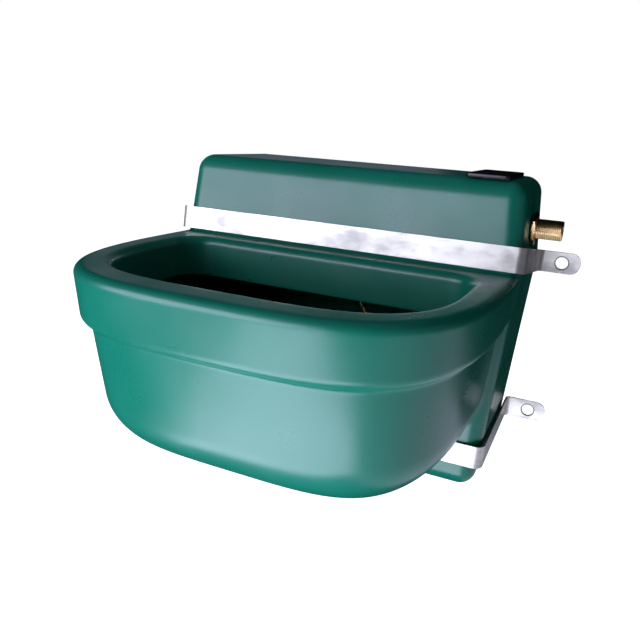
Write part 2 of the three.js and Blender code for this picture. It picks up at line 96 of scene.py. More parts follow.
def surface_net(field, xs, ys, zs):
    """Vertices and quads of the surface where the field is zero, pulled onto it by a few Newton steps."""
    grid = np.meshgrid(xs, ys, zs, indexing="ij")
    value = field(np.stack([g.ravel() for g in grid])).reshape(grid[0].shape)
    axes = (xs, ys, zs)
    cells = tuple(n - 1 for n in value.shape)
    total = np.zeros(cells + (3,))
    count = np.zeros(cells)
    crossings = []
    for axis in range(3):
        low = [slice(None)] * 3
        high = [slice(None)] * 3
        low[axis], high[axis] = slice(None, -1), slice(1, None)
        a, b = value[tuple(low)], value[tuple(high)]
        crossed = (a < 0) != (b < 0)
        share = np.where(crossed, a / np.where(crossed, a - b, 1.0), 0.0)
        point = np.stack([g[tuple(low)] for g in grid], -1)
        step = np.diff(axes[axis]).reshape([-1 if i == axis else 1 for i in range(3)])
        point[..., axis] += share * step
        others = [i for i in range(3) if i != axis]
        for da in (0, 1):
            for db in (0, 1):
                source = [slice(None)] * 3
                target = [slice(None)] * 3
                for other, shift in zip(others, (da, db)):
                    size = crossed.shape[other]
                    source[other] = slice(shift, size - 1 + shift)
                mask = crossed[tuple(source)]
                total[tuple(target)] += point[tuple(source)] * mask[..., None]
                count[tuple(target)] += mask
        crossings.append((axis, others, crossed, a < 0))
    used = count > 0
    index = np.full(cells, -1)
    index[used] = np.arange(used.sum())
    vertices = total[used] / count[used][:, None]
    faces = []
    for axis, others, crossed, inside in crossings:
        inner = [slice(None)] * 3
        for other in others:
            inner[other] = slice(1, -1)
        where = np.argwhere(crossed[tuple(inner)])
        for other in others:
            where[:, other] += 1
        outward = inside[tuple(where.T)]
        corners = []
        for da, db in ((1, 1), (0, 1), (0, 0), (1, 0)):
            cell = where.copy()
            cell[:, others[0]] -= da
            cell[:, others[1]] -= db
            corners.append(index[tuple(cell.T)])
        quads = np.stack(corners, 1)
        flip = outward if axis == 1 else ~outward
        quads[flip] = quads[flip][:, ::-1]
        faces.append(quads)
    faces = np.concatenate(faces)
    vertices = project_to(field, vertices)
    for _ in range(RELAX_ROUNDS):
        vertices = project_to(field, relaxed(vertices, faces), 2)
    return vertices, faces


def relaxed(vertices, faces, share=0.5):
    """Each vertex moved part of the way to the middle of its neighbours along the faces' edges."""
    total = np.zeros_like(vertices)
    count = np.zeros(len(vertices))
    for a, b in ((0, 1), (1, 2), (2, 3), (3, 0)):
        np.add.at(total, faces[:, a], vertices[faces[:, b]])
        np.add.at(total, faces[:, b], vertices[faces[:, a]])
        np.add.at(count, faces[:, a], 1)
        np.add.at(count, faces[:, b], 1)
    middle = total / count[:, None]
    return vertices + share * (middle - vertices)


def field_gradient(field, points, step=0.05):
    """The field's slope at each point, by central differences."""
    gradient = np.zeros_like(points)
    for i in range(3):
        offset = np.zeros(3)
        offset[i] = step
        gradient[:, i] = (field((points + offset).T) - field((points - offset).T)) / (2 * step)
    return gradient


def project_to(field, points, rounds=4, longest=0.8):
    """The points moved along the gradient to where the field is zero, in steps of limited length."""
    for _ in range(rounds):
        gradient = field_gradient(field, points)
        length2 = np.maximum((gradient**2).sum(1), LEAST_GRADIENT2)
        move = -(field(points.T) / length2)[:, None] * gradient
        size = np.linalg.norm(move, axis=1)
        points = points + move * np.minimum(1.0, longest / np.maximum(size, LEAST_LENGTH))[:, None]
    return points


def build_mesh(name, vertices, faces, smooth_angle=None):
    """A mesh object in metres from millimetre vertices. Faces may be an array or a list of tuples."""
    mesh = bpy.data.meshes.new(name)
    points = (np.asarray(vertices, float) * MM).tolist()
    mesh.from_pydata(points, [], [tuple(int(i) for i in f) for f in faces])
    mesh.validate()
    mesh.update()
    made = bpy.data.objects.new(name, mesh)
    bpy.context.scene.collection.objects.link(made)
    mesh.polygons.foreach_set("use_smooth", [True] * len(mesh.polygons))
    if smooth_angle is not None:
        mesh.set_sharp_from_angle(angle=math.radians(smooth_angle))
    return made


def rings_mesh(name, rings, looped=False, smooth_angle=38):
    """A skin over rings of equal length, closed by end faces, or joined up last to first."""
    count = len(rings[0])
    vertices = np.concatenate([np.asarray(ring, float) for ring in rings])
    faces = []
    for i in range(len(rings) if looped else len(rings) - 1):
        a, b = i * count, (i + 1) % len(rings) * count
        faces += [(a + j, a + (j + 1) % count, b + (j + 1) % count, b + j) for j in range(count)]
    if not looped:
        faces.append(tuple(range(count)))
        faces.append(tuple((len(rings) - 1) * count + j for j in range(count)))
    made = build_mesh(name, vertices, faces)
    face_outwards(made.data)
    made.data.set_sharp_from_angle(angle=math.radians(smooth_angle))
    return made


def face_outwards(mesh):
    skin = bmesh.new()
    skin.from_mesh(mesh)
    bmesh.ops.recalc_face_normals(skin, faces=skin.faces)
    skin.to_mesh(mesh)
    skin.free()


def apply_modifiers(piece):
    """Keeps the mesh as its modifiers leave it."""
    graph = bpy.context.evaluated_depsgraph_get()
    result = bpy.data.meshes.new_from_object(piece.evaluated_get(graph))
    result.name = piece.name
    piece.modifiers.clear()
    piece.data = result
    return piece


def soften_edges(piece, width, angle=42, segments=2):
    """Rounds the edges sharper than the angle, with the flats beside them kept flat."""
    bevel = piece.modifiers.new("bevel", "BEVEL")
    bevel.width = width * MM
    bevel.segments = segments
    bevel.limit_method = "ANGLE"
    bevel.angle_limit = math.radians(angle)
    bevel.harden_normals = True
    return apply_modifiers(piece)


def refined(node, width, flat_angle=1.0):
    """A copy of a CAD node with its flat faces whole again and its sharp edges rounded."""
    skin = bmesh.new()
    skin.from_mesh(frame["nodes"][node].data)
    bmesh.ops.remove_doubles(skin, verts=skin.verts, dist=0.02 * MM)
    limit = math.radians(flat_angle)
    bmesh.ops.dissolve_limit(skin, angle_limit=limit, verts=skin.verts, edges=skin.edges)
    bmesh.ops.recalc_face_normals(skin, faces=skin.faces)
    skin.verts.index_update()
    vertices = [v.co / MM for v in skin.verts]
    faces = [[v.index for v in f.verts] for f in skin.faces]
    skin.free()
    return soften_edges(build_mesh(node + "_finished", vertices, faces), width)


# ---------------------------------------------------------------- the moulding's shape

RIM_Z = 7.0
SKIN = 5.0
CHAMBER_BOTTOM, CHAMBER_TOP = -230.0, 95.0
PARTING_HALF, PARTING_FRONT = 196.0, -152.0
SIDE_TAPER_ABOVE, SIDE_TAPER_BELOW = 0.0842, 0.0732
FRONT_TAPER_ABOVE, FRONT_TAPER_BELOW = 0.137, 0.033
EDGE_RADIUS, BACK_RADIUS = 17.0, 6.0
BOWL_FRONT, BOWL_BACK, STRAIGHT_END = -405.9, -100.0, -146.0
BOWL_FLOOR, FLOOR_RADIUS = -171.0, 53.0
BAND_POWER, BOWL_POWER, MOUTH_POWER = 3.55, 3.75, 3.6
BAND_TAPER = 0.0842
CREASE, CREASE_SIDE, CREASE_FRONT = -45.8, 9.0, 9.3
CREASE_RADIUS, CREASE_FILLET = 9.0, 5.0
LOW_WALL_TOP = -20.0
SIDE_DRAFT, FRONT_DRAFT = 0.07, 0.167
RIM_RADIUS, FLARE = 9.0, 8.0
MOUTH_HALF, MOUTH_BACK, MOUTH_FRONT, MOUTH_CORNER = 163.0, -181.0, -369.0, 30.0
MOUTH_DRAFT, MOUTH_SETBACK, FAR_AWAY = 0.035, 3.0, 1e3
JOIN_FILLET, CORNER_FILLET = 8.0, 1.2
CORNER_X, CORNER_Z = (150.0, 186.0), (-56.0, -40.0)
LIP_BOTTOM, LIP_OVERLAP, LIP_END_RADIUS, WALL_RADIUS = -36.5, 4.0, 0.8, 0.4
INLET_Y, INLET_Z = -80.0, 46.0
PAD_INNER, PAD_OUTER, PAD_RADIUS, PAD_EDGE, PAD_FILLET = 184.8, 191.6, 20.5, 0.8, 2.0
SPOT_FACE_STEP, BORE_RADIUS, BORE_START, BORE_EDGE = 0.5, 11.0, 150.0, 0.5
ACCESS_LOW, ACCESS_HIGH = (132.4, -122.6, 80.0), (167.6, -45.4, 120.0)
ACCESS_CORNER, ACCESS_EDGE = 2.5, 0.7

# Stretches of the net's grid: start, end and spacing, finer where the skin curves or slants.
GRID_X = ((-200.0, -90.0, 2.6), (-90.0, 90.0, 4.5), (90.0, 200.0, 2.6))
GRID_Y = (
    (-410.0, -316.0, 2.6),
    (-316.0, -216.0, 3.3),
    (-216.0, -120.0, 2.6),
    (-120.0, -14.0, 4.0),
    (-14.0, 4.0, 2.0),
)
GRID_Z = (
    (-234.0, -206.0, 2.6),
    (-206.0, -112.0, 2.2),
    (-112.0, -64.0, 4.0),
    (-64.0, 12.0, 2.0),
    (12.0, 66.0, 3.0),
    (66.0, 99.0, 2.6),
)


def chamber_field(p):
    """The float chamber: sides widest at the rim's height, front leaning back upwards, flat back."""
    x, y, z = p
    rise = z - RIM_Z
    half = PARTING_HALF - np.where(rise > 0, SIDE_TAPER_ABOVE, SIDE_TAPER_BELOW) * np.abs(rise)
    front = PARTING_FRONT + np.where(rise > 0, FRONT_TAPER_ABOVE, FRONT_TAPER_BELOW) * rise
    body = rounded_and([np.abs(x) - half, front - y, z - CHAMBER_TOP, CHAMBER_BOTTOM - z], EDGE_RADIUS)
    return rounded_and([body, y], BACK_RADIUS)


def d_field(x, y, half, back, front, straight, power):
    """Distance to a D-shaped outline: straight sides, then a superellipse towards -Y."""
    depth = straight - front
    u = np.abs(x) / half
    v = np.maximum(straight - y, 0.0) / depth
    q = np.maximum((u**power + v**power) ** (1 / power), LEAST_RATIO)
    slope = np.sqrt((u ** (power - 1) / half) ** 2 + (v ** (power - 1) / depth) ** 2) * q ** (1 - power)
    return np.maximum((q - 1) / np.maximum(slope, LEAST_RATIO), y - back)


def bowl_field(p):
    """The bowl, solid: a deep band under the rim, and below the crease a narrower round-bottomed body."""
    x, y, z = p
    drop = RIM_Z - z
    inset = BAND_TAPER * drop
    band = d_field(x, y, PARTING_HALF - inset, BOWL_BACK, BOWL_FRONT + inset, STRAIGHT_END, BAND_POWER)
    band = rounded_and([band, z - RIM_Z], RIM_RADIUS)
    band = rounded_and([band, CREASE - z], CREASE_RADIUS)
    at_crease = BAND_TAPER * (RIM_Z - CREASE)
    wall = CREASE - z
    half = PARTING_HALF - at_crease - CREASE_SIDE - SIDE_DRAFT * wall
    front = BOWL_FRONT + at_crease + CREASE_FRONT + FRONT_DRAFT * wall
    low = d_field(x, y, half, BOWL_BACK, front, STRAIGHT_END, BOWL_POWER)
    low = rounded_and([low, BOWL_FLOOR - z], FLOOR_RADIUS)
    low = np.maximum(low, z - LOW_WALL_TOP)
    return filleted_or(band, low, CREASE_FILLET)


def mouth_field(p):
    """The mouth's pocket, drawn in a little downwards, with round corners at the back."""
    x, y, z = p
    narrow = MOUTH_DRAFT * np.maximum(RIM_Z - z, 0.0)
    half = MOUTH_HALF - narrow
    straight = MOUTH_BACK - MOUTH_CORNER - MOUTH_SETBACK
    sides = d_field(x, y, half, FAR_AWAY, MOUTH_FRONT + narrow, straight, MOUTH_POWER)
    return rounded_and([sides, y - (MOUTH_BACK - narrow)], MOUTH_CORNER)


def outer_field(p):
    """Bowl and chamber, solid. Their fillet tightens where the rim band runs into the chamber's sides."""
    x, _, z = p
    at_corner = smooth(*CORNER_X, np.abs(x)) * smooth(*CORNER_Z, z)
    fillet = JOIN_FILLET * (1 - at_corner) + CORNER_FILLET * at_corner
    return filleted_or(chamber_field(p), bowl_field(p), fillet)


def pocketed_field(p):
    """The outer solid with the mouth's pocket sunk right through it, its edge rolled over."""
    return rounded_and([outer_field(p), -mouth_field(p)], FLARE)


def moulding_field(p):
    """One skin: round the mouth it turns down as a lip, and below the lip the bowl is open inside."""
    x, y, z = p
    pocketed = pocketed_field(p)
    lipped = rounded_and([pocketed, -pocketed - SKIN], WALL_RADIUS)
    lipped = rounded_and([lipped, LIP_BOTTOM - z], LIP_END_RADIUS)
    outer = outer_field(p)
    plain = np.maximum(np.maximum(outer, -outer - SKIN), z - LIP_BOTTOM - LIP_OVERLAP)
    shell = with_inlet(np.minimum(lipped, plain), x, np.hypot(y - INLET_Y, z - INLET_Z))
    access = box_field(p, ACCESS_LOW, ACCESS_HIGH, ACCESS_CORNER)
    return rounded_and([shell, -access], ACCESS_EDGE)


def with_inlet(shell, x, around_inlet):
    """The skin with a round pad for the nuts in its right wall, spot-faced and bored."""
    pad = rounded_and([around_inlet - PAD_RADIUS, x - PAD_OUTER, PAD_INNER - x], PAD_EDGE)
    shell = filleted_or(shell, pad, PAD_FILLET)
    spot_face = np.maximum(around_inlet - PAD_RADIUS + SPOT_FACE_STEP, PAD_OUTER - x)
    bore = np.maximum(around_inlet - BORE_RADIUS, BORE_START - x)
    return rounded_and([shell, -np.minimum(spot_face, bore)], BORE_EDGE)


def make_moulding():
    grid = [grid_lines(*stretches) for stretches in (GRID_X, GRID_Y, GRID_Z)]
    vertices, faces = surface_net(moulding_field, *grid)
    return build_mesh("moulding", vertices, faces)


# ---------------------------------------------------------------- fixing straps

STRAP_WIDTH, STRAP_THICKNESS = 25.0, 2.0
CORNER_BEND, TAB_BEND, TAB_ROUND, HOLE_RADIUS = 9.0, 5.0, 11.0, 7.0
BEND_STEPS, CUT_EDGE = 13, 0.4
# A ring of painted shade round each strap hole: its inner radius, its outer radius and its strength.
HOLE_SHADE_INNER, HOLE_SHADE_OUTER, HOLE_SHADE_SHARE = 7.6 * MM, 8.8 * MM, 0.95
STRAPS = {
    "upper_strap": {"half": 200.0, "front": -153.2, "rise": 22.4, "z": 0.0, "hole": 224.2, "end": 244.9},
    "lower_strap": {"half": 187.0, "front": -161.6, "rise": 0.0, "z": -189.0, "hole": 213.2, "end": 233.9},
}


def strap_stations(half, front, end):
    """From mid-front to the right tab's end: centre x and y, direction, share upright, half width."""
    x, y = half - STRAP_THICKNESS / 2, front + STRAP_THICKNESS / 2
    wide = STRAP_WIDTH / 2
    turns = np.linspace(0.0, math.pi / 2, BEND_STEPS)
    stations = [(0.0, y, 0.0, 0.0, wide)]
    for a in turns:
        bend_x = x - CORNER_BEND * (1 - math.sin(a))
        stations.append((bend_x, y + CORNER_BEND * (1 - math.cos(a)), a, 0.0, wide))
    for a in turns:
        bend_y = -STRAP_THICKNESS / 2 - TAB_BEND * (1 - math.sin(a))
        share = a / turns[-1]
        stations.append((x + TAB_BEND * (1 - math.cos(a)), bend_y, math.pi / 2 - a, share, wide))
    for a in turns:
        round_x = end - TAB_ROUND * (1 - math.sin(a))
        stations.append((round_x, -STRAP_THICKNESS / 2, 0.0, 1.0, wide - TAB_ROUND * (1 - math.cos(a))))
    return stations


def strap_section(station, front, rise, z):
    """The strip's four corners at a station. It climbs to the front and stands upright at the tabs."""
    x, y, angle, upright, half_width = station
    lean = math.atan2(rise, -front) * (1 - upright)
    along = Vector((math.cos(angle), math.sin(angle) * math.cos(lean), -math.sin(angle) * math.sin(lean)))
    across = Vector((0.0, math.sin(lean), math.cos(lean)))
    through = along.cross(across).normalized() * (STRAP_THICKNESS / 2)
    centre = Vector((x, y, z + rise * y / (front + STRAP_THICKNESS / 2)))
    across = across * half_width
    outer, inner = centre + through, centre - through
    return [outer + across, inner + across, inner - across, outer - across]


def make_strap(name):
    """Flat steel bent round the chamber, with a drilled tab at each end and its cut edges eased."""
    form = STRAPS[name]
    right = strap_stations(form["half"], form["front"], form["end"])
    left = [(-x, y, -angle, upright, wide) for x, y, angle, upright, wide in right[:0:-1]]
    rings = [strap_section(s, form["front"], form["rise"], form["z"]) for s in left + right]
    strap = rings_mesh(name + "_strip", rings)
    for side in (-1, 1):
        drill(strap, (side * form["hole"], -STRAP_THICKNESS / 2, form["z"]), HOLE_RADIUS)
    return soften_edges(strap, CUT_EDGE)


def drill(piece, centre, radius, reach=4.0, segments=40):
    """Cuts a round hole along Y."""
    x, y, z = centre
    angles = np.linspace(0.0, 2 * math.pi, segments, endpoint=False)
    circle = [(x + radius * math.cos(a), z + radius * math.sin(a)) for a in angles]
    rings = [[(cx, end, cz) for cx, cz in circle] for end in (y - reach, y + reach)]
    cutter = rings_mesh("cutter", rings)
    cut = piece.modifiers.new("hole", "BOOLEAN")
    cut.operation = "DIFFERENCE"
    cut.solver = "EXACT"
    cut.object = cutter
    apply_modifiers(piece)
    bpy.data.objects.remove(cutter)


# ---------------------------------------------------------------- access cap

CAP_LOW, CAP_HIGH = (128.25, -138.0, 95.3), (171.75, -33.0, 99.9)
PLUG_LOW, PLUG_HIGH = (133.0, -122.0, 83.3), (167.0, -46.0, 95.3)
PLUG_SKIN, PLUG_CORNER, PLUG_FLOOR = 2.5, 3.0, 1.0
CAP_CORNER, BRIM_ROUND, PANEL_CORNER, SHARPEST_CORNER = 5.0, 1.0, 7.0, 0.3
BRIM_STEPS = 6

# Outlines of the cap as (inset, height): the plug up to the lid, the brim's foot, the pressed panel.
PLUG_OUTLINE = (
    (PLUG_SKIN, CAP_LOW[2] + PLUG_FLOOR),
    (PLUG_SKIN, PLUG_LOW[2] + 0.4),
    (PLUG_SKIN - 0.4, PLUG_LOW[2]),
    (0.6, PLUG_LOW[2]),
    (0.0, PLUG_LOW[2] + 0.8),
    (0.0, CAP_LOW[2]),
)
BRIM_OUTLINE = ((0.4, CAP_LOW[2]), (0.0, CAP_LOW[2] + 0.5))
PANEL_OUTLINE = (
    (4.6, CAP_HIGH[2]),
    (5.0, CAP_HIGH[2] - 0.15),
    (5.8, CAP_HIGH[2] - 0.75),
    (6.4, CAP_HIGH[2] - 0.8),
)


def rounded_rectangle(low, high, inset, radius, z, steps=8):
    """A level ring of points: a rectangle moved in by the inset, its corners of the given radius."""
    points = []
    radius = max(radius - inset, SHARPEST_CORNER)
    x0, x1, y0, y1 = low[0] + inset, high[0] - inset, low[1] + inset, high[1] - inset
    corners = ((x1, y1, 0), (x0, y1, 1), (x0, y0, 2), (x1, y0, 3))
    for x, y, turn in corners:
        centre_x = x - radius if turn in (0, 3) else x + radius
        centre_y = y - radius if turn in (0, 1) else y + radius
        for a in np.linspace(0.0, math.pi / 2, steps) + turn * math.pi / 2:
            points.append((centre_x + radius * math.cos(a), centre_y + radius * math.sin(a), z))
    return points


def make_cap():
    """A lid with a rounded brim and a shallow pressed panel, on a hollow plug that fits the chamber."""
    rings = [rounded_rectangle(PLUG_LOW, PLUG_HIGH, inset, PLUG_CORNER, z) for inset, z in PLUG_OUTLINE]
    rings += [rounded_rectangle(CAP_LOW, CAP_HIGH, inset, CAP_CORNER, z) for inset, z in BRIM_OUTLINE]
    for a in np.linspace(0.0, math.pi / 2, BRIM_STEPS):
        inset, height = BRIM_ROUND * (1 - math.cos(a)), BRIM_ROUND * math.sin(a)
        z = CAP_HIGH[2] - BRIM_ROUND + height
        rings.append(rounded_rectangle(CAP_LOW, CAP_HIGH, inset, CAP_CORNER, z))
    rings += [rounded_rectangle(CAP_LOW, CAP_HIGH, inset, PANEL_CORNER, z) for inset, z in PANEL_OUTLINE]
    return rings_mesh("cap_moulding", rings, smooth_angle=50)


# ---------------------------------------------------------------- turned and threaded pieces

FOOT_EASE, BORE_EASE = 0.3, 0.5
NOSE_LENGTH, NOSE_DROP, NOSE_END = 1.2, 1.0, 1.25
RINGS_PER_PITCH, CREST_POWER = 8, 1.5
TAIL_RADIUS, TAIL_BORE, TAIL_START, TAIL_END = 20.955 / 2, 5.5, 160.3, 224.2
TAIL_PITCH, TAIL_THREAD_DEPTH, TAIL_PLAIN = 25.4 / 14, 0.3, 12.0
NUT_FLATS, NUT_THICKNESS, NUT_BORE = 31.0, 4.7, 11.0
NUT_BEARING_SHARE, NUT_CONE_SLOPE = 0.95, 1.9
OUTER_NUT_X, INNER_NUT_X = 193.4, 178.3
OUTER_WASHER_X, INNER_WASHER_X = 191.9, 183.3
WASHER_RADIUS, WASHER_THICKNESS, WASHER_EASE = 14.5, 1.2, 0.25


def on_valve_axis(x, radius, angle):
    """A point about the inlet's axis, which runs along X."""
    return (x, INLET_Y + radius * math.cos(angle), INLET_Z + radius * math.sin(angle))


def turned(name, profile, place=on_valve_axis, segments=64, smooth_angle=38):
    """A ring-shaped body from a closed profile of (distance along, radius), placed on its axis."""
    angles = np.linspace(0.0, 2 * math.pi, segments, endpoint=False)
    rings = [[place(x, radius, a) for a in angles] for x, radius in profile]
    return rings_mesh(name, rings, looped=True, smooth_angle=smooth_angle)


def threaded(name, size, thread, place=on_valve_axis, segments=48):
    """A tube with a rounded thread cut from its far end back to the plain length.

    The size is (start, end, radius, bore) and the thread is (pitch, depth, plain length).
    """
    start, end, radius, bore = size
    pitch, depth, plain = thread
    angles = np.linspace(0.0, 2 * math.pi, segments, endpoint=False)
    rings = [[place(start, r, a) for a in angles] for r in (bore, radius - FOOT_EASE)]
    for x in np.arange(start + FOOT_EASE, end, pitch / RINGS_PER_PITCH):
        fade = smooth(start + plain, start + plain + 2 * pitch, x)
        nose = radius - NOSE_DROP * (1 - min(1.0, (end - x) / NOSE_LENGTH))
        ring = []
        for a in angles:
            turn = x / pitch - a / (2 * math.pi)
            groove = depth * fade * (0.5 - 0.5 * math.cos(2 * math.pi * turn)) ** CREST_POWER
            ring.append(place(x, min(radius - groove, nose), a))
        rings.append(ring)
    for x, r in ((end, radius - NOSE_END), (end, bore + BORE_EASE), (end - BORE_EASE, bore)):
        rings.append([place(x, r, a) for a in angles])
    return rings_mesh(name, rings, looped=True, smooth_angle=55)


def make_backnut(name, near):
    """A hexagon whose corners are turned off to a cone on both faces."""
    samples, slices = 96, 17
    angles = np.linspace(0.0, 2 * math.pi, samples, endpoint=False)
    sixth = math.pi / 3
    flats = [NUT_FLATS / 2 / math.cos((a + sixth / 2) % sixth - sixth / 2) for a in angles]
    bearing = NUT_FLATS / 2 * NUT_BEARING_SHARE
    far = near + NUT_THICKNESS
    rings = []
    for share in np.linspace(0.0, 1.0, slices):
        cone = bearing + min(share, 1 - share) * NUT_THICKNESS * NUT_CONE_SLOPE
        x = near + share * NUT_THICKNESS
        rings.append([on_valve_axis(x, min(flat, cone), a) for flat, a in zip(flats, angles)])
    bore = ((far, BORE_EASE), (far - BORE_EASE, 0.0), (near + BORE_EASE, 0.0), (near, BORE_EASE))
    for x, wider in bore:
        rings.append([on_valve_axis(x, NUT_BORE + wider, a) for a in angles])
    return rings_mesh(name, rings, looped=True, smooth_angle=24)


def make_washer(name, near):
    far = near + WASHER_THICKNESS
    eased = WASHER_RADIUS - WASHER_EASE
    profile = [(near, NUT_BORE), (near, eased), (near + WASHER_EASE, WASHER_RADIUS)]
    profile += [(far - WASHER_EASE, WASHER_RADIUS), (far, eased), (far, NUT_BORE)]
    return turned(name, profile)


# ---------------------------------------------------------------- float and drop rod

PIVOT_X, PIVOT_Z = 95.0, 28.0
DROOP = math.radians(34)
LEVER_LENGTH = 124.0
FLOAT_RADIUS, FLOAT_DROP = 50.0, 105.0
SEAM_HEIGHT, SEAM_HALF, SEAM_FADE = 0.5, 1.4, 0.6
NECK_RADIUS, NECK_TOP, NECK_EDGE = 11.0, 50.0, 0.8
SOCKET_RADIUS, SOCKET_DEPTH, SOCKET_EDGE = 6.8, 14.0, 0.5
SPINE_RADIUS = 0.4
ROD_RADIUS, ROD_ABOVE, ROD_BELOW, ROD_CORE = 3.175, 20.0, 61.0, 0.05
ROD_PITCH, ROD_THREAD_DEPTH = 1.5, 0.35


def on_drop_axis(down, radius, angle):
    """A point about the drop rod's axis, at a distance below the lever, with the lever at its lowest."""
    x, y, z = -LEVER_LENGTH + radius * math.cos(angle), radius * math.sin(angle), -down
    cos, sin = math.cos(-DROOP), math.sin(-DROOP)
    return (PIVOT_X + x * cos + z * sin, INLET_Y + y, PIVOT_Z - x * sin + z * cos)


def make_float():
    """Two blown halves welded at a raised seam, with a moulded neck for the threaded bush."""
    socket_end = NECK_TOP + SOCKET_DEPTH
    profile = [(socket_end, SPINE_RADIUS), (socket_end, SOCKET_RADIUS)]
    profile += [(NECK_TOP + SOCKET_EDGE, SOCKET_RADIUS), (NECK_TOP, SOCKET_RADIUS + SOCKET_EDGE)]
    profile += [(NECK_TOP, NECK_RADIUS - NECK_EDGE), (NECK_TOP + NECK_EDGE, NECK_RADIUS)]
    neck_gap, pole_gap, slices = 0.03, 0.01, 60
    first = math.asin(NECK_RADIUS / FLOAT_RADIUS) + neck_gap
    for a in np.linspace(first, math.pi - pole_gap, slices):
        along = FLOAT_DROP - FLOAT_RADIUS * math.cos(a)
        raised = SEAM_HEIGHT * (1 - smooth(SEAM_HALF - SEAM_FADE, SEAM_HALF, abs(along - FLOAT_DROP)))
        profile.append((along, (FLOAT_RADIUS - SEAM_HEIGHT) * math.sin(a) + raised))
    return turned("float_ball", profile, on_drop_axis, smooth_angle=50)


def make_tail():
    size = (TAIL_START, TAIL_END, TAIL_RADIUS, TAIL_BORE)
    return threaded("tail_threaded", size, (TAIL_PITCH, TAIL_THREAD_DEPTH, TAIL_PLAIN))


def make_drop_rod():
    """A rod threaded from end to end. Its skin is closed round a hair-thin core."""
    size = (-ROD_ABOVE, ROD_BELOW, ROD_RADIUS, ROD_CORE)
    return threaded("drop_rod_threaded", size, (ROD_PITCH, ROD_THREAD_DEPTH, 0.0), on_drop_axis, 24)


# ---------------------------------------------------------------- materials


def new_material(name):
    material = bpy.data.materials.new(name)
    material.use_nodes = True
    tree = material.node_tree
    tree.nodes.clear()
    output = tree.nodes.new("ShaderNodeOutputMaterial")
    shader = tree.nodes.new("ShaderNodeBsdfPrincipled")
    tree.links.new(shader.outputs["BSDF"], output.inputs["Surface"])
    coordinates = tree.nodes.new("ShaderNodeTexCoord")
    return material, tree, shader, coordinates.outputs["Object"]


def scaled(tree, vector, scale):
    node = tree.nodes.new("ShaderNodeMapping")
    node.inputs["Scale"].default_value = scale
    tree.links.new(vector, node.inputs["Vector"])
    return node.outputs["Vector"]


def noise(tree, vector, scale, detail=3.0, rough=0.5):
    node = tree.nodes.new("ShaderNodeTexNoise")
    node.inputs["Scale"].default_value = scale
    node.inputs["Detail"].default_value = detail
    node.inputs["Roughness"].default_value = rough
    tree.links.new(vector, node.inputs["Vector"])
    return node.outputs["Fac"]


def remap(tree, value, low, high, new_low, new_high):
    node = tree.nodes.new("ShaderNodeMapRange")
    for name, number in zip(("From Min", "From Max", "To Min", "To Max"), (low, high, new_low, new_high)):
        node.inputs[name].default_value = number
    tree.links.new(value, node.inputs["Value"])
    return node.outputs["Result"]


def mix_colours(tree, factor, first, second):
    node = tree.nodes.new("ShaderNodeMix")
    node.data_type = "RGBA"
    for socket, colour in ((node.inputs[6], first), (node.inputs[7], second)):
        if isinstance(colour, tuple):
            socket.default_value = (*colour, 1.0)
        else:
            tree.links.new(colour, socket)
    tree.links.new(factor, node.inputs[0])
    return node.outputs[2]


def bump(tree, height, distance, strength=1.0, normal=None):
    node = tree.nodes.new("ShaderNodeBump")
    node.inputs["Distance"].default_value = distance
    node.inputs["Strength"].default_value = strength
    tree.links.new(height, node.inputs["Height"])
    if normal is not None:
        tree.links.new(normal, node.inputs["Normal"])
    return node.outputs["Normal"]


def painted_hole_shade(tree, place, x, z):
    """Painted shade round a punched hole's edge, as a share that fades out over a millimetre or so."""
    offset = tree.nodes.new("ShaderNodeVectorMath")
    offset.operation = "SUBTRACT"
    offset.inputs[1].default_value = (x, 0.0, z)
    tree.links.new(place, offset.inputs[0])
    length = tree.nodes.new("ShaderNodeVectorMath")
    length.operation = "LENGTH"
    tree.links.new(scaled(tree, offset.outputs["Vector"], (1.0, 0.0, 1.0)), length.inputs[0])
    return remap(tree, length.outputs["Value"], HOLE_SHADE_INNER, HOLE_SHADE_OUTER, HOLE_SHADE_SHARE, 0.0)


def green_plastic():
    """Moulded polyethylene: soft gloss, faint orange peel, slow waves and small pale scuffs."""
    material, tree, shader, place = new_material("green_plastic")
    deep, light, scuffed = (0.0035, 0.125, 0.078), (0.005, 0.142, 0.090), (0.10, 0.34, 0.25)
    cloud = noise(tree, place, 9.0, 2.0)
    base = mix_colours(tree, remap(tree, cloud, 0.35, 0.65, 0, 1), deep, light)
    marks = noise(tree, scaled(tree, place, (1.0, 1.0, 2.4)), 95.0, 4.0, 0.62)
    base = mix_colours(tree, remap(tree, marks, 0.735, 0.80, 0, 0.35), base, scuffed)
    tree.links.new(base, shader.inputs["Base Color"])
    patches = noise(tree, place, 22.0, 4.0)
    tree.links.new(remap(tree, patches, 0.3, 0.7, 0.26, 0.35), shader.inputs["Roughness"])
    shader.inputs["IOR"].default_value = 1.51
    waves = bump(tree, noise(tree, place, 14.0, 1.0), 0.0016, 0.55)
    peel = bump(tree, noise(tree, place, 420.0, 2.0), 0.00012, 0.5, waves)
    tree.links.new(peel, shader.inputs["Normal"])
    return material


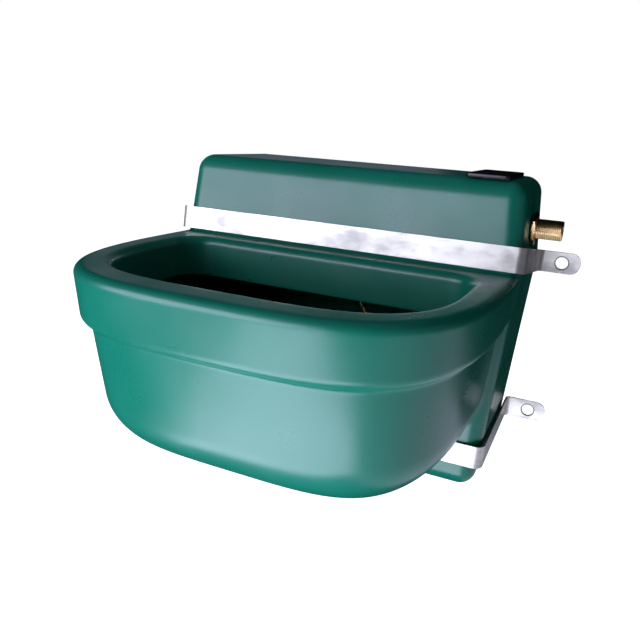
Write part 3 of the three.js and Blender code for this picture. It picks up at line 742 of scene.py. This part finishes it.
def stainless():
    """Rolled strip with a dull finish: faint brush lines, smudges and specks, and painted shade round the
    punched holes.
    """
    material, tree, shader, place = new_material("stainless")
    clean, dull, brushed = (0.66, 0.625, 0.56), (0.47, 0.445, 0.41), (0.56, 0.54, 0.50)
    # dirt is the colour of the specks. The near-black colour on the next line is painted round the holes
    # as shade.
    dirt, hole_shade = (0.10, 0.09, 0.09), (0.03, 0.028, 0.027)
    lines = noise(tree, scaled(tree, place, (6.0, 6.0, 700.0)), 1.0, 3.0, 0.6)
    smudges = noise(tree, scaled(tree, place, (1.0, 1.0, 1.8)), 24.0, 5.0, 0.6)
    specks = noise(tree, place, 330.0, 2.0)
    base = mix_colours(tree, remap(tree, smudges, 0.47, 0.66, 0, 1), clean, dull)
    base = mix_colours(tree, remap(tree, lines, 0.35, 0.65, 0, 0.2), base, brushed)
    base = mix_colours(tree, remap(tree, specks, 0.735, 0.78, 0, 0.6), base, dirt)
    # A ring of painted shade round each punched hole.
    for form in STRAPS.values():
        for side in (-1, 1):
            edge = painted_hole_shade(tree, place, side * form["hole"] * MM, form["z"] * MM)
            base = mix_colours(tree, edge, base, hole_shade)
    tree.links.new(base, shader.inputs["Base Color"])
    shader.inputs["Metallic"].default_value = 1.0
    tree.links.new(remap(tree, smudges, 0.3, 0.7, 0.42, 0.56), shader.inputs["Roughness"])
    tree.links.new(bump(tree, lines, 0.00003, 0.6), shader.inputs["Normal"])
    return material


def brass():
    """Turned brass dulled by handling: warm, with slow patches of brown tarnish and fine tool marks."""
    material, tree, shader, place = new_material("brass")
    bright, tarnished = (1.0, 0.72, 0.36), (0.93, 0.60, 0.28)
    patches = noise(tree, place, 70.0, 2.0, 0.5)
    base = mix_colours(tree, remap(tree, patches, 0.38, 0.68, 0, 1), bright, tarnished)
    tree.links.new(base, shader.inputs["Base Color"])
    shader.inputs["Metallic"].default_value = 1.0
    turning = noise(tree, scaled(tree, place, (2600.0, 60.0, 60.0)), 1.0, 2.0)
    tree.links.new(remap(tree, patches, 0.3, 0.75, 0.24, 0.36), shader.inputs["Roughness"])
    tree.links.new(bump(tree, turning, 0.00002, 0.5), shader.inputs["Normal"])
    return material


def black_plastic():
    """Satin moulded plastic with a fine grain and dusty patches."""
    material, tree, shader, place = new_material("black_plastic")
    clean, dusty = (0.004, 0.004, 0.0045), (0.012, 0.0118, 0.013)
    dust = noise(tree, place, 60.0, 5.0, 0.6)
    base = mix_colours(tree, remap(tree, dust, 0.45, 0.8, 0, 1), clean, dusty)
    tree.links.new(base, shader.inputs["Base Color"])
    tree.links.new(remap(tree, dust, 0.3, 0.7, 0.26, 0.40), shader.inputs["Roughness"])
    tree.links.new(bump(tree, noise(tree, place, 1500.0, 2.0), 0.00008, 0.5), shader.inputs["Normal"])
    return material


def rubber():
    """Matt black rubber with a patchy grey bloom."""
    material, tree, shader, place = new_material("rubber")
    black, grey = (0.012, 0.012, 0.012), (0.035, 0.034, 0.033)
    bloom = noise(tree, place, 150.0, 4.0)
    base = mix_colours(tree, remap(tree, bloom, 0.4, 0.7, 0, 1), black, grey)
    tree.links.new(base, shader.inputs["Base Color"])
    tree.links.new(remap(tree, bloom, 0.3, 0.7, 0.6, 0.8), shader.inputs["Roughness"])
    tree.links.new(bump(tree, noise(tree, place, 2200.0, 2.0), 0.00006, 0.5), shader.inputs["Normal"])
    return material


def nylon():
    """Off-white moulded nylon, a little cloudy."""
    material, tree, shader, place = new_material("nylon")
    cream, pale = (0.74, 0.71, 0.62), (0.82, 0.80, 0.73)
    cloud = noise(tree, place, 200.0, 3.0)
    base = mix_colours(tree, remap(tree, cloud, 0.3, 0.7, 0, 1), cream, pale)
    tree.links.new(base, shader.inputs["Base Color"])
    tree.links.new(remap(tree, cloud, 0.3, 0.7, 0.35, 0.5), shader.inputs["Roughness"])
    tree.links.new(bump(tree, noise(tree, place, 1800.0, 2.0), 0.00005, 0.4), shader.inputs["Normal"])
    return material


FINISHES = (green_plastic, stainless, brass, black_plastic, rubber, nylon)
MATERIALS = {make.__name__: make() for make in FINISHES}


def dress(piece, slot):
    piece.data.materials.clear()
    piece.data.materials.append(MATERIALS[slot])


def stand_for(piece, body, slot, *nodes):
    """The piece takes the place of those CAD nodes, moves with their body and has their finish."""
    dress(piece, slot)
    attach(piece, body)
    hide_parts(*nodes)
    return piece


# ---------------------------------------------------------------- pieces

for entry in frame["record"]["subparts"]:
    dress(frame["nodes"][entry["node"]], entry["material_slot"])

stand_for(make_moulding(), "trough", "green_plastic", "trough_body")
for strap_name in STRAPS:
    stand_for(make_strap(strap_name), "trough", "stainless", strap_name)
stand_for(make_cap(), "cap", "black_plastic", "access_cap")
stand_for(make_tail(), "trough", "brass", "inlet_tail")
stand_for(make_backnut("outer_nut", OUTER_NUT_X), "trough", "brass", "outer_backnut")
stand_for(make_backnut("inner_nut", INNER_NUT_X), "trough", "brass", "inner_backnut")
stand_for(make_washer("outer_seal", OUTER_WASHER_X), "trough", "rubber", "outer_washer")
stand_for(make_washer("inner_seal", INNER_WASHER_X), "trough", "rubber", "inner_washer")
stand_for(make_float(), "float_drop", "black_plastic", "float")
stand_for(make_drop_rod(), "float_drop", "brass", "drop_rod")
for node, body, edge_width in (
    ("valve_body", "trough", 0.5),
    ("end_cap", "trough", 0.5),
    ("lever_arm", "lever", 0.5),
    ("thumb_screw", "thumb_screw", 0.4),
    ("float_nut", "float_drop", 0.4),
    ("float_bush", "float_drop", 0.3),
    ("piston", "piston", 0.3),
):
    stand_for(refined(node, edge_width), body, "brass", node)


# ---------------------------------------------------------------- stage

FLOOR_Z, FLOOR_HALF, FLOOR_GLOW = -0.6, 8.0, 1.35
VIEW_FROM = (0.26263, -0.77120, 0.1304)
YAW, PITCH, ROLL = 22.70, 16.36, 3.84
LENS, SHIFT = 35.41, (-0.0201, -0.0063)
SENSOR_WIDTH = 36.0
SKY = (0.89, 0.94, 1.18)
GROUND_TURN = -15.0

# Lamps in metres: where they stand, what they face, width and height, brightness of the face.
LAMPS = {
    "window": ((-1.12, -2.09, 0.28), (0.0, -0.2, 0.0), (2.3, 1.2), 5.4),
    "window_edge": ((0.07, -2.72, 0.16), (0.55, -1.25, 0.16), (0.3, 1.5), 2.9),
    "window_top": ((-0.9, -1.7, 1.45), (0.0, -0.2, 0.0), (1.7, 0.6), 0.5),
    "yard": ((-0.6, -2.25, -0.45), (-0.2, -0.2, -0.1), (2.4, 0.3), 5.0),
    "ground": ((-0.115, -1.14, -0.56), (-0.115, -1.14, 0.5), (0.76, 1.2), 6.0),
    "right_ground": ((0.95, -0.25, -0.58), (0.95, -0.25, 0.5), (1.4, 1.8), 0.75),
    "right_fill": ((1.8, -0.4, 0.2), (0.1, -0.2, 0.0), (2.0, 1.6), 0.1),
    "left_yard": ((-1.1, 1.6, 0.5), (0.0, -0.1, 0.0), (1.6, 0.8), 0.2),
}
FILLS = {"back_fill": (0.0, 1.9, 0.5), "left_fill": (-2.0, 0.6, 0.3), "top_fill": (0.1, 0.2, 2.0)}
FILL_TARGET, FILL_SIZE, FILL_BRIGHTNESS = (0.0, -0.1, 0.0), (2.4, 1.6), 0.7


def make_floor():
    """A pale lit table. It shows white round the object and leaves the reflections to the lamps."""
    half = FLOOR_HALF
    outline = ((-half, -half), (half, -half), (half, half), (-half, half))
    corners = [(x, y, FLOOR_Z) for x, y in outline]
    mesh = bpy.data.meshes.new("floor")
    mesh.from_pydata(corners, [], [(0, 1, 2, 3)])
    floor = bpy.data.objects.new("floor", mesh)
    bpy.context.scene.collection.objects.link(floor)
    material, tree, shader, place = new_material("floor")
    paper = noise(tree, place, 3.0, 2.0)
    shade, white = (0.80, 0.80, 0.80), (0.82, 0.82, 0.82)
    base = mix_colours(tree, paper, shade, white)
    tree.links.new(base, shader.inputs["Base Color"])
    tree.links.new(base, shader.inputs["Emission Color"])
    shader.inputs["Emission Strength"].default_value = FLOOR_GLOW
    shader.inputs["Roughness"].default_value = 0.9
    shader.inputs["Specular IOR Level"].default_value = 0.0
    mesh.materials.append(material)
    floor.visible_glossy = False
    floor.visible_diffuse = False


def make_camera():
    """The camera, turned by yaw, pitch and roll from a level view along +Y."""
    data = bpy.data.cameras.new("camera")
    data.sensor_width = SENSOR_WIDTH
    data.lens = LENS
    data.shift_x, data.shift_y = SHIFT
    camera = bpy.data.objects.new("camera", data)
    bpy.context.scene.collection.objects.link(camera)
    yaw, pitch, roll = (math.radians(a) for a in (YAW, PITCH, ROLL))
    back = Vector((math.sin(yaw) * math.cos(pitch), -math.cos(yaw) * math.cos(pitch), math.sin(pitch)))
    right = (-back).cross(Vector((0, 0, 1))).normalized()
    up = right.cross(-back)
    tilted_right = right * math.cos(roll) + up * math.sin(roll)
    tilted_up = -right * math.sin(roll) + up * math.cos(roll)
    place = Matrix.Identity(4)
    for column, axis in enumerate((tilted_right, tilted_up, back)):
        for row in range(3):
            place[row][column] = axis[row]
    place.translation = Vector(VIEW_FROM)
    camera.matrix_world = place
    bpy.context.scene.camera = camera


def make_light(name, place, target, size, brightness):
    """A soft rectangular lamp. The brightness is that of its face, whatever its size."""
    data = bpy.data.lights.new(name, "AREA")
    data.shape = "RECTANGLE"
    data.size, data.size_y = size
    data.energy = brightness * math.pi * size[0] * size[1]
    data.color = SKY
    light = bpy.data.objects.new(name, data)
    bpy.context.scene.collection.objects.link(light)
    light.location = place
    light.rotation_mode = "QUATERNION"
    light.rotation_quaternion = (Vector(target) - Vector(place)).to_track_quat("-Z", "Y")
    light.visible_camera = False
    return light


def make_world():
    """A white backdrop that only the camera sees."""
    world = bpy.data.worlds.new("studio")
    world.use_nodes = True
    background = world.node_tree.nodes["Background"]
    background.inputs["Color"].default_value = (1.0, 1.0, 1.0, 1.0)
    background.inputs["Strength"].default_value = 1.0
    world.cycles_visibility.diffuse = False
    world.cycles_visibility.glossy = False
    bpy.context.scene.world = world


def make_lights():
    """Daylight from the left in front, down to the bright ground, and weak fill elsewhere."""
    for name, lamp in LAMPS.items():
        light = make_light(name, *lamp)
        if name == "ground":
            turn = Matrix.Rotation(math.radians(GROUND_TURN), 3, "Z").to_quaternion()
            light.rotation_quaternion = turn @ light.rotation_quaternion
    for name, place in FILLS.items():
        fill = make_light(name, place, FILL_TARGET, FILL_SIZE, FILL_BRIGHTNESS)
        fill.visible_glossy = False


make_floor()
make_camera()
make_world()
make_lights()

bpy.context.scene.view_settings.view_transform = "Standard"
